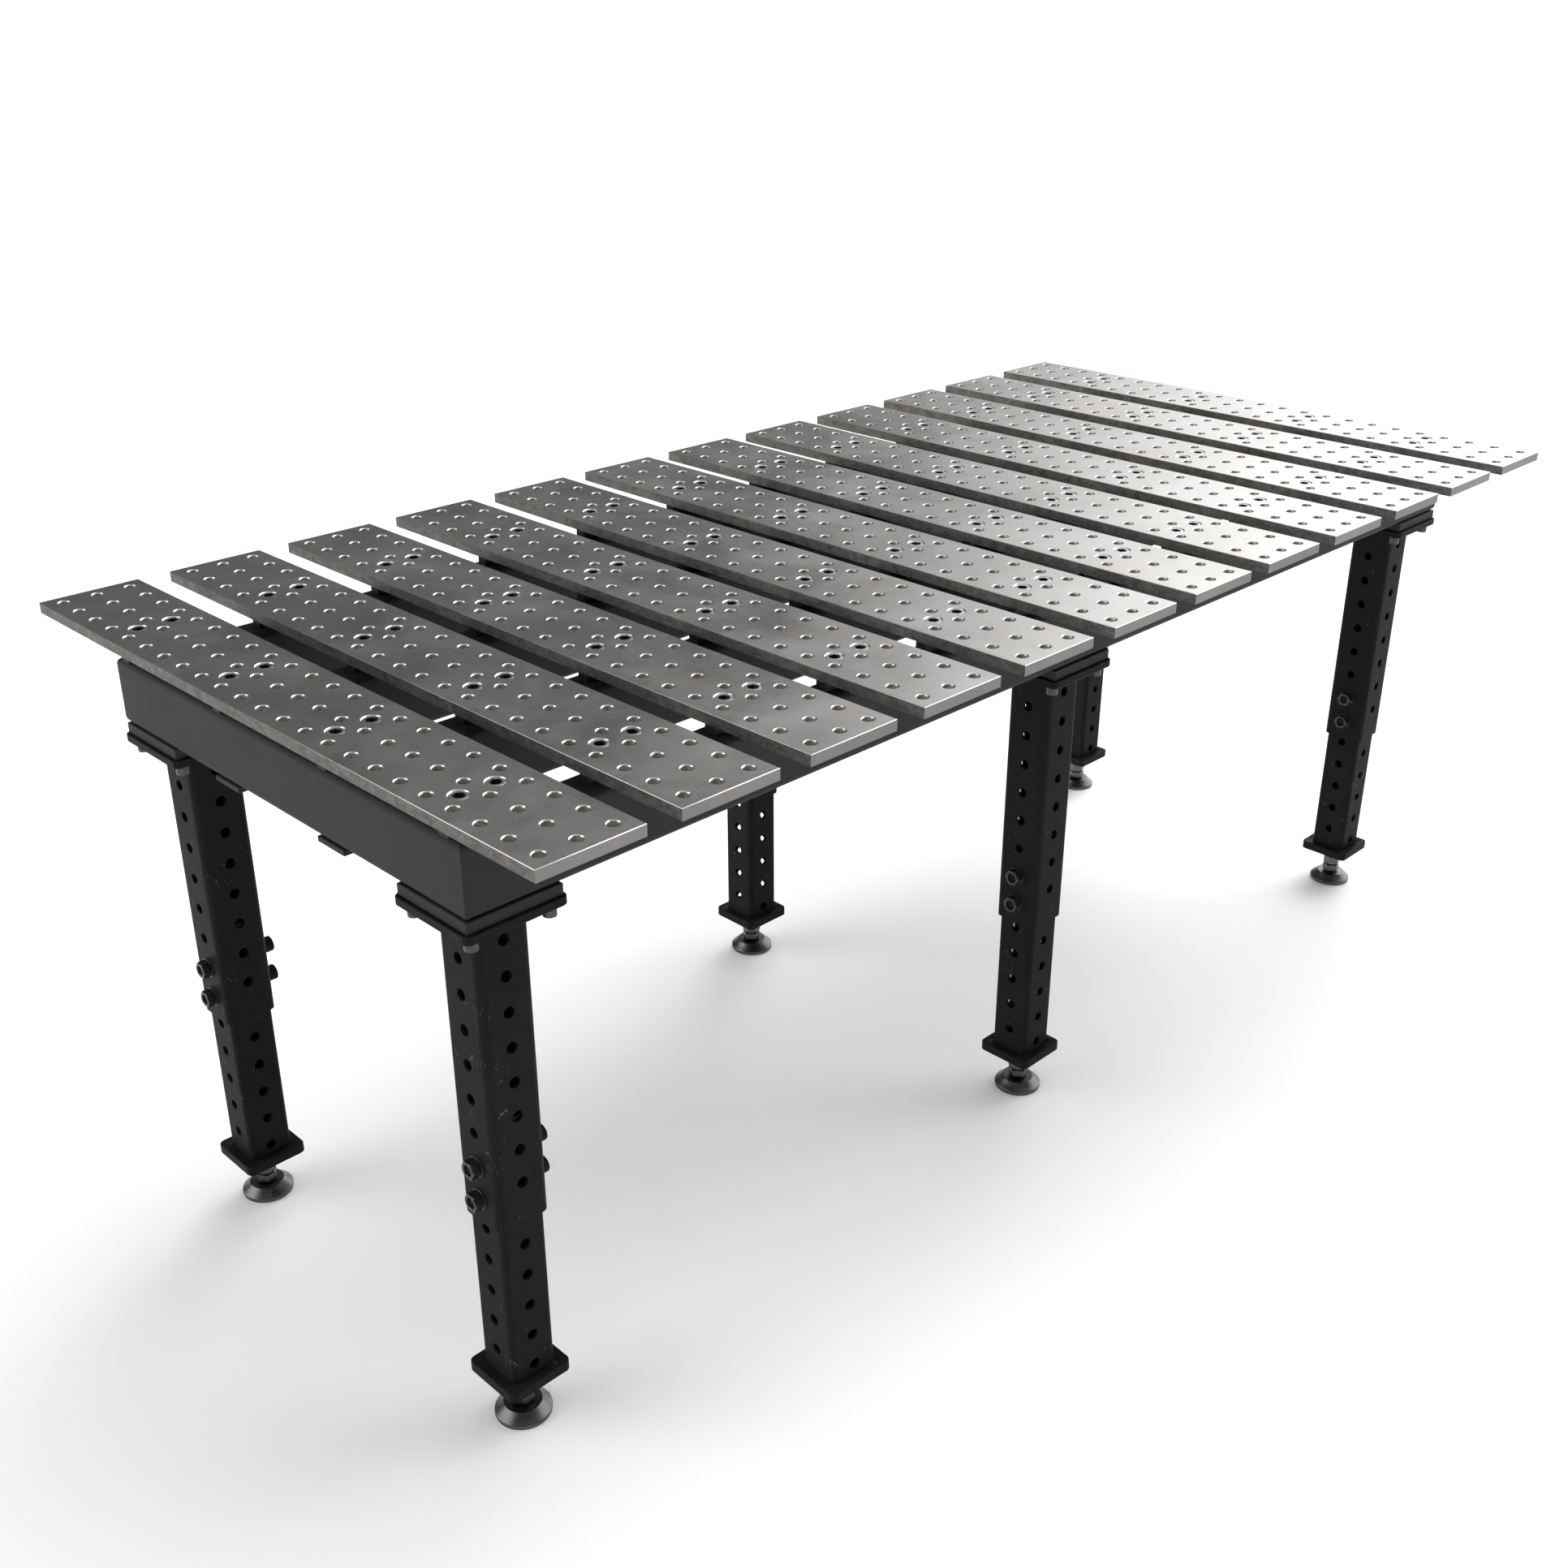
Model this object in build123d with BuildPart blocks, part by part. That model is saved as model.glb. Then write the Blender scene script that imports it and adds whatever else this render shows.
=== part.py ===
"""Slatted welding and fixturing table on six telescopic legs, all sizes in millimetres.

X runs along the table, Y runs across it (along the slats) and Z is up.
The origin is on the floor, under the middle of the table.
"""

import os
from itertools import product

from build123d import *

INCH = 25.4

# ---------------------------------------------------------------- top
top_z = 971.0                    # working surface above the floor, legs as set
slat_count = 12
slat_width = 6 * INCH            # along X
slat_gap = 2 * INCH
slat_length = 46 * INCH          # along Y
slat_thickness = 0.625 * INCH
slat_edge_bevel = 0.8
slat_pitch = slat_width + slat_gap
slat_bottom_z = top_z - slat_thickness

# fixture holes: one grid over the whole top
hole_pitch = 2 * INCH
hole_rows = 3                    # across one slat
hole_columns = 23                # along one slat
hole_radius = 8.0
hole_chamfer = 1.4

# low-head socket screws, sunk in counterbores, that hold each slat
screw_spread = 1 * INCH          # each side of the slat's centre line
screw_radius = 6.0
screw_head_radius = 12.0
screw_head_height = 9.0
screw_head_drop = 0.9            # head lies this far under the working surface
screw_length = 34.0              # from the working surface to the tip
screw_socket_flats = 14.0
screw_socket_depth = 5.5
seat_radius = 12.3
seat_chamfer = 1.7
screw_hole_gap = 0.1             # radial room around every screw shank

# ---------------------------------------------------------------- frame
tube_width = 60.0
tube_height = 100.0
tube_wall = 5.0
tube_corner = 10.0
frame_half_length = 46 * INCH    # outer face of the end tubes
frame_half_width = 411.0         # outer face of the side tubes
frame_top_z = 927.0
frame_bottom_z = frame_top_z - tube_height
side_tube_y = frame_half_width - tube_width / 2
beam_y = 5 * INCH                # centre of the two inner beams

spacer_width = 19.0
spacer_length = 4 * INCH
spacer_height = slat_bottom_z - frame_top_z
support_lines = (-side_tube_y, -beam_y, beam_y, side_tube_y)

joint_plate_width = tube_width
joint_plate_length = 120.0
joint_plate_thickness = 8.0

# ---------------------------------------------------------------- legs
mount_plate_side = 140.0
mount_plate_thickness = 16.0
mount_plate_bottom_z = frame_bottom_z - mount_plate_thickness

flange_side = 150.0
flange_corner = 10.0
flange_thickness = 12.0
flange_bottom_z = mount_plate_bottom_z - flange_thickness
flange_screw_spread = 57.0
flange_screw_radius = 6.0
flange_head_radius = 9.0
flange_head_height = 16.0
flange_screw_reach = 26.0
flange_socket_flats = 10.0
flange_socket_depth = 6.0

leg_hole_radius = 8.15
leg_hole_count = 8               # in each row, on each face

upper_side = 80.0
upper_wall = 4.0
upper_corner = 9.0
upper_bottom_z = 347.0
bolt_low_z = upper_bottom_z + 37.5

lower_side = 70.0
lower_wall = 5.0
lower_corner = 6.0
lower_length = 420.0
base_side = 100.0
base_corner = 10.0
base_thickness = 16.0
base_top_z = 90.0
base_bottom_z = base_top_z - base_thickness
lower_hole_low_z = bolt_low_z - 5 * hole_pitch

bolt_radius = 7.8
bolt_head_radius = 12.0
bolt_head_height = 24.0
bolt_socket_flats = 14.0
bolt_socket_depth = 8.0
washer_radius = 15.0
washer_thickness = 2.0
nut_flats = 24.0
nut_height = 13.0
bolt_end_depth = 3.0             # bolt end lies this deep in the nut
nut_hole_gap = 0.1

# ---------------------------------------------------------------- feet
stud_radius = 10.0
stud_gap = 0.1                   # radial running room of the stud in its nuts
foot_nut_flats = 30.0
foot_nut_height = 18.0
stud_hex_low_z = 22.0
stud_hex_high_z = 36.0
stud_top_z = 120.0
stud_neck_radius = 7.0
ball_radius = 8.7
ball_gap = 0.3
ball_z = 11.0
pad_radius = 40.0
pad_top_radius = 27.0
pad_rim_height = 6.5
pad_height = 19.0
pad_mouth_radius = 8.2

leg_x = frame_half_length - mount_plate_side / 2
leg_y = frame_half_width - mount_plate_side / 2
legs = {
    "left_front": (-leg_x, -leg_y),
    "left_rear": (-leg_x, leg_y),
    "middle_front": (0, -leg_y),
    "middle_rear": (0, leg_y),
    "right_front": (leg_x, -leg_y),
    "right_rear": (leg_x, leg_y),
}

os.makedirs("parts", exist_ok=True)


def write(piece, label):
    """Label a finished piece and write its STEP file."""
    piece.label = label
    export_step(piece, f"parts/{label}.step")


def slat_x(number):
    """Centre of a slat, numbered from 1 at the -X end."""
    return (number - (slat_count + 1) / 2) * slat_pitch


def hexagon(flats, turn=0.0):
    """Draw a hexagon of the given size across flats in the open sketch."""
    RegularPolygon(flats / 2, 6, major_radius=False, rotation=turn)


# ================================================================ top
# one perforated plate with counterbored seats for its eight screws, made once
with BuildPart(mode=Mode.PRIVATE) as plain_slat:
    screw_places = list(product((-screw_spread, screw_spread), support_lines))
    with BuildSketch(Plane.XY.offset(slat_bottom_z)):
        Rectangle(slat_width, slat_length)
        with GridLocations(hole_pitch, hole_pitch, hole_rows, hole_columns):
            Circle(hole_radius, mode=Mode.SUBTRACT)
        with Locations(*screw_places):
            Circle(screw_radius + screw_hole_gap, mode=Mode.SUBTRACT)
    extrude(amount=slat_thickness)
    with BuildSketch(Plane.XY.offset(top_z)):
        with Locations(*screw_places):
            Circle(seat_radius)
    extrude(amount=-screw_head_drop - screw_head_height, mode=Mode.SUBTRACT)
    rims = plain_slat.edges().group_by(Axis.Z)[-1].filter_by(GeomType.CIRCLE)
    chamfer(rims.filter_by(lambda rim: rim.radius < seat_radius - 0.1), hole_chamfer)
    rims = plain_slat.edges().group_by(Axis.Z)[-1].filter_by(GeomType.CIRCLE)
    chamfer(rims.filter_by(lambda rim: rim.radius > seat_radius - 0.1), seat_chamfer)
    outline = plain_slat.edges().group_by(Axis.Z)[-1].filter_by(GeomType.LINE)
    chamfer(outline, slat_edge_bevel)

for number in range(1, slat_count + 1):
    with BuildPart() as slat:
        with Locations((slat_x(number), 0, 0)):
            add(plain_slat.part)
    write(slat.part, f"slat_{number:02d}")

slat_screw_places = [
    (slat_x(number) + side * screw_spread, y)
    for number in range(1, slat_count + 1)
    for side, y in product((-1, 1), support_lines)
]
with BuildPart(mode=Mode.PRIVATE) as slat_screw:
    with BuildSketch(Plane.XZ):
        with BuildLine():
            head_z = -screw_head_drop
            Polyline(
                (0, head_z),
                (screw_head_radius - 0.6, head_z),
                (screw_head_radius, head_z - 0.6),
                (screw_head_radius, head_z - screw_head_height),
                (screw_radius, head_z - screw_head_height),
                (screw_radius, 1 - screw_length),
                (screw_radius - 1, -screw_length),
                (0, -screw_length),
                close=True,
            )
        make_face()
    revolve(axis=Axis.Z)
    with BuildSketch(Plane.XY.offset(head_z)):
        hexagon(screw_socket_flats)
    extrude(amount=-screw_socket_depth, mode=Mode.SUBTRACT)

with BuildPart() as slat_screws:
    with Locations(*[(x, y, top_z) for x, y in slat_screw_places]):
        add(slat_screw.part)
write(slat_screws.part, "slat_screws")

with BuildPart() as slat_spacers:
    with BuildSketch(Plane.XY.offset(frame_top_z)):
        for number, y in product(range(1, slat_count + 1), support_lines):
            with Locations((slat_x(number), y)):
                Rectangle(spacer_length, spacer_width)
                with Locations((-screw_spread, 0), (screw_spread, 0)):
                    Circle(screw_radius + screw_hole_gap, mode=Mode.SUBTRACT)
    extrude(amount=spacer_height)
write(slat_spacers.part, "slat_spacers")


# ================================================================ frame
def tube_section():
    """Draw the frame tube's hollow section, 60 wide and 100 high, in the open sketch."""
    RectangleRounded(tube_width, tube_height, tube_corner)
    RectangleRounded(
        tube_width - 2 * tube_wall,
        tube_height - 2 * tube_wall,
        tube_corner - tube_wall,
        mode=Mode.SUBTRACT,
    )


frame_mid_z = frame_top_z - tube_height / 2

for side, label in ((-1, "left_end_tube"), (1, "right_end_tube")):
    x = side * (frame_half_length - tube_width / 2)
    with BuildPart() as end_tube:
        with BuildSketch(Plane.XZ.offset(-frame_half_width)):
            with Locations((x, frame_mid_z)):
                tube_section()
        extrude(amount=2 * frame_half_width)
        # 45 degree mitres that meet the side tubes
        for end in (-1, 1):
            corner = (side * frame_half_length, end * frame_half_width, frame_mid_z)
            split(bisect_by=Plane(corner, z_dir=(side, -end, 0)), keep=Keep.TOP)
    write(end_tube.part, label)

for side, label in ((-1, "front_side_tube"), (1, "rear_side_tube")):
    with BuildPart() as side_tube:
        with BuildSketch(Plane.YZ.offset(-frame_half_length)):
            with Locations((side * side_tube_y, frame_mid_z)):
                tube_section()
        extrude(amount=2 * frame_half_length)
        for end in (-1, 1):
            corner = (end * frame_half_length, side * frame_half_width, frame_mid_z)
            split(bisect_by=Plane(corner, z_dir=(-end, side, 0)), keep=Keep.TOP)
    write(side_tube.part, label)

beam_half_length = frame_half_length - tube_width
for side, label in ((-1, "front_inner_beam"), (1, "rear_inner_beam")):
    with BuildPart() as beam:
        with BuildSketch(Plane.YZ.offset(-beam_half_length)):
            with Locations((side * beam_y, frame_mid_z)):
                tube_section()
        extrude(amount=2 * beam_half_length)
    write(beam.part, label)

# short tubes that cross the frame between the beams, over the middle legs
beam_outer_y = beam_y + tube_width / 2
beam_inner_y = beam_y - tube_width / 2
side_inner_y = frame_half_width - tube_width
crosspieces = {
    "front_crosspiece": (-side_inner_y, -beam_outer_y),
    "centre_crosspiece": (-beam_inner_y, beam_inner_y),
    "rear_crosspiece": (beam_outer_y, side_inner_y),
}
for label, (start, end) in crosspieces.items():
    with BuildPart() as crosspiece:
        with BuildSketch(Plane.XZ.offset(-end)):
            with Locations((0, frame_mid_z)):
                tube_section()
        extrude(amount=end - start)
    write(crosspiece.part, label)

# flat plates under the joints of the inner beams and the end tubes
with BuildPart() as joint_plates:
    with BuildSketch(Plane.XY.offset(frame_bottom_z)):
        x = frame_half_length - joint_plate_length / 2
        with Locations(*product((-x, x), (-beam_y, beam_y))):
            Rectangle(joint_plate_length, joint_plate_width)
    extrude(amount=-joint_plate_thickness)
write(joint_plates.part, "beam_joint_plates")

with BuildPart() as mount_plates:
    with BuildSketch(Plane.XY.offset(frame_bottom_z)):
        with Locations(*legs.values()):
            Rectangle(mount_plate_side, mount_plate_side)
            with GridLocations(2 * flange_screw_spread, 2 * flange_screw_spread, 2, 2):
                Circle(flange_screw_radius + screw_hole_gap, mode=Mode.SUBTRACT)
    extrude(amount=-mount_plate_thickness)
write(mount_plates.part, "leg_mount_plates")


# ================================================================ legs
def leg_tube(side, wall, corner, bottom_z, length, hole_z, crossed_hole_z):
    """Square tube on the Z axis with a row of cross holes through each pair of faces.

    hole_z is the lowest hole along X, and crossed_hole_z the lowest hole along Y.
    """
    inside = side - 2 * wall
    row_middle = (leg_hole_count - 1) / 2 * hole_pitch
    with BuildPart(mode=Mode.PRIVATE) as tube:
        with BuildSketch(Plane.XY.offset(bottom_z)):
            RectangleRounded(side, side, corner)
            RectangleRounded(inside, inside, max(corner - wall, 1.0), mode=Mode.SUBTRACT)
        extrude(amount=length)
        with BuildSketch(Plane.YZ):
            with Locations((0, hole_z + row_middle)):
                with GridLocations(hole_pitch, hole_pitch, 1, leg_hole_count):
                    Circle(leg_hole_radius)
        extrude(amount=side, both=True, mode=Mode.SUBTRACT)
        with BuildSketch(Plane.XZ):
            with Locations((0, crossed_hole_z + row_middle)):
                with GridLocations(hole_pitch, hole_pitch, 1, leg_hole_count):
                    Circle(leg_hole_radius)
        extrude(amount=side, both=True, mode=Mode.SUBTRACT)
    return tube.part


upper_tube = leg_tube(
    upper_side,
    upper_wall,
    upper_corner,
    upper_bottom_z,
    flange_bottom_z - upper_bottom_z,
    bolt_low_z,
    bolt_low_z + hole_pitch / 2,
)
lower_tube = leg_tube(
    lower_side,
    lower_wall,
    lower_corner,
    base_top_z,
    lower_length,
    lower_hole_low_z,
    lower_hole_low_z - hole_pitch / 2,
)

for place, (x, y) in legs.items():
    with BuildPart() as upper_leg:
        with Locations((x, y, 0)):
            add(upper_tube)
    write(upper_leg.part, f"upper_leg_{place}")

with BuildPart() as flanges:
    with BuildSketch(Plane.XY.offset(flange_bottom_z)):
        with Locations(*legs.values()):
            RectangleRounded(flange_side, flange_side, flange_corner)
            with GridLocations(2 * flange_screw_spread, 2 * flange_screw_spread, 2, 2):
                Circle(flange_screw_radius + 0.5, mode=Mode.SUBTRACT)
    extrude(amount=flange_thickness)
write(flanges.part, "leg_flanges")

with BuildPart() as flange_screws:
    corners = list(product((-flange_screw_spread, flange_screw_spread), repeat=2))
    places = [(x + dx, y + dy) for x, y in legs.values() for dx, dy in corners]
    with BuildSketch(Plane.XY.offset(flange_bottom_z)):
        with Locations(*places):
            Circle(flange_head_radius)
    extrude(amount=-flange_head_height)
    head_bottom = flange_screws.edges().group_by(Axis.Z)[0]
    chamfer(head_bottom, 0.8)
    with BuildSketch(Plane.XY.offset(flange_bottom_z)):
        with Locations(*places):
            Circle(flange_screw_radius)
    extrude(amount=flange_screw_reach)
    with BuildSketch(Plane.XY.offset(flange_bottom_z - flange_head_height)):
        with Locations(*places):
            hexagon(flange_socket_flats)
    extrude(amount=flange_socket_depth, mode=Mode.SUBTRACT)
write(flange_screws.part, "flange_screws")

# two bolts pin each lower leg, passing through the leg along X
bolt_lines = [
    (x, y, bolt_low_z + step * hole_pitch) for x, y in legs.values() for step in (0, 1)
]
head_face = upper_side / 2
nut_face = -upper_side / 2 - washer_thickness
bolt_end = nut_face - nut_height + bolt_end_depth

with BuildPart(mode=Mode.PRIVATE) as leg_bolt:
    with BuildSketch(Plane.YZ.offset(head_face)):
        Circle(bolt_head_radius)
    extrude(amount=bolt_head_height)
    chamfer(leg_bolt.edges().group_by(Axis.X)[-1], 1.2)
    with BuildSketch(Plane.YZ.offset(head_face)):
        Circle(bolt_radius)
    extrude(amount=bolt_end - head_face)
    chamfer(leg_bolt.edges().group_by(Axis.X)[0], 1.0)
    with BuildSketch(Plane.YZ.offset(head_face + bolt_head_height)):
        hexagon(bolt_socket_flats)
    extrude(amount=-bolt_socket_depth, mode=Mode.SUBTRACT)

with BuildPart() as leg_bolts:
    with Locations(*bolt_lines):
        add(leg_bolt.part)
write(leg_bolts.part, "leg_bolts")


def make_nut(flats, height, bore, plane):
    """A hexagon nut standing on the plane, its six corners trimmed by a chamfered round."""
    with BuildPart(mode=Mode.PRIVATE) as nut:
        with BuildSketch(plane):
            Circle(flats / 3**0.5)
        extrude(amount=height)
        chamfer(nut.edges().filter_by(GeomType.CIRCLE), flats * 0.06)
        with BuildSketch(plane):
            hexagon(flats)
        extrude(amount=height, mode=Mode.INTERSECT)
        with BuildSketch(plane):
            Circle(bore)
        extrude(amount=height, mode=Mode.SUBTRACT)
    return nut.part


leg_nut = make_nut(nut_flats, nut_height, bolt_radius + nut_hole_gap, Plane.YZ)
with BuildPart() as leg_nuts:
    with Locations(*[(x + nut_face - nut_height, y, z) for x, y, z in bolt_lines]):
        add(leg_nut)
write(leg_nuts.part, "leg_bolt_nuts")

with BuildPart() as leg_washers:
    for x, y, z in bolt_lines:
        with BuildSketch(Plane.YZ.offset(x + nut_face)):
            with Locations((y, z)):
                Circle(washer_radius)
                Circle(bolt_radius + 0.5, mode=Mode.SUBTRACT)
        extrude(amount=washer_thickness)
write(leg_washers.part, "leg_bolt_washers")

# ================================================================ lower legs and feet
stud_bore = stud_radius + stud_gap
weld_nut = make_nut(foot_nut_flats, foot_nut_height, stud_bore, Plane.XY)

for place, (x, y) in legs.items():
    # telescopic tube, welded to its base plate and to the nut under the plate
    with BuildPart() as lower_leg:
        with Locations((x, y, 0)):
            add(lower_tube)
        with BuildSketch(Plane.XY.offset(base_bottom_z)):
            with Locations((x, y)):
                RectangleRounded(base_side, base_side, base_corner)
                Circle(stud_bore, mode=Mode.SUBTRACT)
        extrude(amount=base_thickness)
        with Locations((x, y, base_bottom_z - foot_nut_height)):
            add(weld_nut)
    write(lower_leg.part, f"lower_leg_{place}")

    with BuildPart() as jam_nut:
        with Locations(Location((x, y, base_bottom_z - 2 * foot_nut_height), (0, 0, 15))):
            add(weld_nut)
    write(jam_nut.part, f"jam_nut_{place}")

    # threaded stud with a spanner hexagon, ending in a ball
    with BuildPart() as stud:
        with BuildSketch(Plane.XY.offset(stud_hex_low_z)):
            with Locations((x, y)):
                hexagon(foot_nut_flats, 8)
        extrude(amount=stud_hex_high_z - stud_hex_low_z)
        with BuildSketch(Plane.XY.offset(stud_hex_high_z)):
            with Locations((x, y)):
                Circle(stud_radius)
        extrude(amount=stud_top_z - stud_hex_high_z)
        chamfer(stud.edges().group_by(Axis.Z)[-1], 1.5)
        with BuildSketch(Plane.XY.offset(ball_z)):
            with Locations((x, y)):
                Circle(stud_neck_radius)
        extrude(amount=stud_hex_low_z - ball_z)
        with Locations((x, y, ball_z)):
            Sphere(ball_radius)
    write(stud.part, f"foot_stud_{place}")

    # round cone-sided pad with a socket that keeps the ball
    with BuildPart() as pad:
        with BuildSketch(Plane.XZ.offset(-y)):
            with BuildLine():
                Polyline(
                    (x, 0),
                    (x + pad_radius - 1, 0),
                    (x + pad_radius, 1),
                    (x + pad_radius, pad_rim_height),
                    (x + pad_top_radius, pad_height),
                    (x, pad_height),
                    close=True,
                )
            make_face()
        revolve(axis=Axis((x, y, 0), (0, 0, 1)))
        with Locations((x, y, ball_z)):
            Sphere(ball_radius + ball_gap, mode=Mode.SUBTRACT)
        with BuildSketch(Plane.XY.offset(pad_height)):
            with Locations((x, y)):
                Circle(pad_mouth_radius)
        extrude(amount=ball_z - pad_height, mode=Mode.SUBTRACT)
    write(pad.part, f"foot_pad_{place}")
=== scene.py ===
from math import cos, pi, radians, sin, sqrt, tan

import bmesh
import bpy
from mathutils import Matrix, Vector
from mathutils.geometry import delaunay_2d_cdt


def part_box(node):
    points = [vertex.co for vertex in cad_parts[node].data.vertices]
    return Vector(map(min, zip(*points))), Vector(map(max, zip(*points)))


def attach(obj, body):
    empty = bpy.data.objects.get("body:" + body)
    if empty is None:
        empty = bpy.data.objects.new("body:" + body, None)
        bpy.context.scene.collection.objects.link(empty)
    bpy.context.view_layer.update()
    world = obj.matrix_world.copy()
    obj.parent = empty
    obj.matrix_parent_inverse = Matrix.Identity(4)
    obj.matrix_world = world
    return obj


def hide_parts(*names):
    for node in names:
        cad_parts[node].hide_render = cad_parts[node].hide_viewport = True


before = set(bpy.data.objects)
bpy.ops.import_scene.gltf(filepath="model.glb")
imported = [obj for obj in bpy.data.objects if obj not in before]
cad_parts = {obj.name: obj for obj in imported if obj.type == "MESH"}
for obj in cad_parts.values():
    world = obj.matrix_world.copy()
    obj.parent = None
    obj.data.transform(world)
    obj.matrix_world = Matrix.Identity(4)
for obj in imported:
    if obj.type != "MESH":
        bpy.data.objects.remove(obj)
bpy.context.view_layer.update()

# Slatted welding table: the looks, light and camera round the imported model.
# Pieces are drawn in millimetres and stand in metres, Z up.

MM = 0.001
PLACES = [
    "left_front", "left_rear", "middle_front", "middle_rear", "right_front", "right_rear"
]
SLATS = [f"slat_{number:02d}" for number in range(1, 13)]
GRID = 50.8  # pitch of the holes in the slats and in the legs


def mm_box(node):
    """A CAD node's corners in millimetres."""
    low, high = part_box(node)
    return [c / MM for c in low], [c / MM for c in high]


# ---------------------------------------------------------------- looks
class Look:
    """A procedural material. It is built by chaining nodes into one Principled shader."""

    def __init__(self, name, **sockets):
        self.material = bpy.data.materials.new(name)
        self.material.use_nodes = True
        self.tree = self.material.node_tree
        self.shader = self.tree.nodes["Principled BSDF"]
        for socket, value in sockets.items():
            self.shader.inputs[socket.replace("_", " ")].default_value = value

    def node(self, kind, inputs=(), **settings):
        made = self.tree.nodes.new("ShaderNode" + kind)
        for name, value in settings.items():
            setattr(made, name, value)
        for socket, value in dict(inputs).items():
            if isinstance(value, bpy.types.NodeSocket):
                self.tree.links.new(value, made.inputs[socket])
            else:
                made.inputs[socket].default_value = value
        return made

    def place(self, shift=1.0, stretch=(1, 1, 1)):
        """Coordinates on the piece, moved by where the piece stands so that copies differ."""
        coords = self.node("TexCoord").outputs["Object"]
        stand = self.node("ObjectInfo").outputs["Location"]
        moved = self.node(
            "VectorMath",
            {0: stand, 1: (7.3 * shift, 5.1 * shift, 3.7 * shift), 2: coords},
            operation="MULTIPLY_ADD",
        ).outputs[0]
        return self.node("Mapping", {"Vector": moved, "Scale": stretch}).outputs[0]

    def noise(self, where, scale, detail=3.0, roughness=0.55, distortion=0.0):
        return self.node(
            "TexNoise",
            {
                "Vector": where,
                "Scale": scale,
                "Detail": detail,
                "Roughness": roughness,
                "Distortion": distortion,
            },
        ).outputs["Fac"]

    def band(self, value, low, high, to_low=0.0, to_high=1.0):
        return self.node(
            "MapRange",
            {
                "Value": value,
                "From Min": low,
                "From Max": high,
                "To Min": to_low,
                "To Max": to_high,
            },
        ).outputs[0]

    def mix(self, factor, a, b, blend="MIX"):
        made = self.node("Mix", data_type="RGBA", blend_type=blend)
        for socket, value in ((0, factor), (6, a), (7, b)):
            if isinstance(value, bpy.types.NodeSocket):
                self.tree.links.new(value, made.inputs[socket])
            else:
                made.inputs[socket].default_value = value
        return made.outputs[2]

    def math(self, operation, a, b):
        return self.node("Math", {0: a, 1: b}, operation=operation).outputs[0]

    def set(self, socket, value):
        self.tree.links.new(value, self.shader.inputs[socket])

    def bump(self, height, strength, distance=0.0004):
        made = self.node(
            "Bump", {"Height": height, "Strength": strength, "Distance": distance}
        )
        self.set("Normal", made.outputs[0])


def grey(value, warm=0.0):
    return (value * (1 + warm), value, value * (1 - warm), 1.0)


STAIN_BROWN = (0.335, 0.262, 0.205, 1)
SPECK_BROWN = (0.27, 0.215, 0.175, 1)
PIT_BROWN = (0.06, 0.05, 0.042, 1)
FLECK_GREY = (0.12, 0.12, 0.123, 1)
SCUFF_GREY = (0.26, 0.255, 0.25, 1)


def ground_steel(name, light, dark, rough, stain=0.32):
    """Ground plate: cloudy grey, faint brown stains and specks, and a fine grain."""
    look = Look(name, Metallic=1.0)
    where = look.place()
    clouds = look.noise(where, 5.0, 5.0, 0.6, 0.4)
    patches = look.noise(look.place(2.0), 11.0, 6.0, 0.65, 0.8)
    grain = look.noise(where, 900.0, 2.0)
    colour = look.mix(look.band(clouds, 0.35, 0.68), dark, light)
    rust = look.band(patches, 0.54, 0.74, 0.0, stain)
    colour = look.mix(rust, colour, STAIN_BROWN)
    speck = look.band(look.noise(where, 260.0, 3.0, 0.7), 0.66, 0.82, 0.0, 0.12)
    colour = look.mix(speck, colour, SPECK_BROWN)
    colour = look.mix(0.16, colour, look.node("ValToRGB", {0: grain}).outputs[0], "OVERLAY")
    look.set("Base Color", colour)
    smear = look.band(look.noise(look.place(3.0), 7.0, 5.0, 0.6, 0.5), 0.3, 0.7, -0.05, 0.06)
    fine = look.band(grain, 0.3, 0.7, rough - 0.03, rough + 0.05)
    look.set("Roughness", look.math("ADD", smear, fine))
    look.bump(look.noise(where, 620.0, 3.0), 0.10)
    return look.material


def mill_scale(name, light, dark, rough):
    """Rolled or cut edge that was never ground: blotched, brownish, dull."""
    look = Look(name, Metallic=0.85)
    where = look.place(1.0, (1, 1, 1.6))
    blotch = look.noise(where, 55.0, 6.0, 0.72, 0.6)
    pits = look.noise(where, 330.0, 4.0, 0.75)
    colour = look.mix(look.band(blotch, 0.36, 0.66), dark, light)
    colour = look.mix(look.band(pits, 0.5, 0.72, 0.0, 0.75), colour, PIT_BROWN)
    look.set("Base Color", colour)
    look.set("Roughness", look.band(pits, 0.3, 0.75, rough - 0.06, rough + 0.16))
    look.bump(pits, 0.45)
    return look.material


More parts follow.
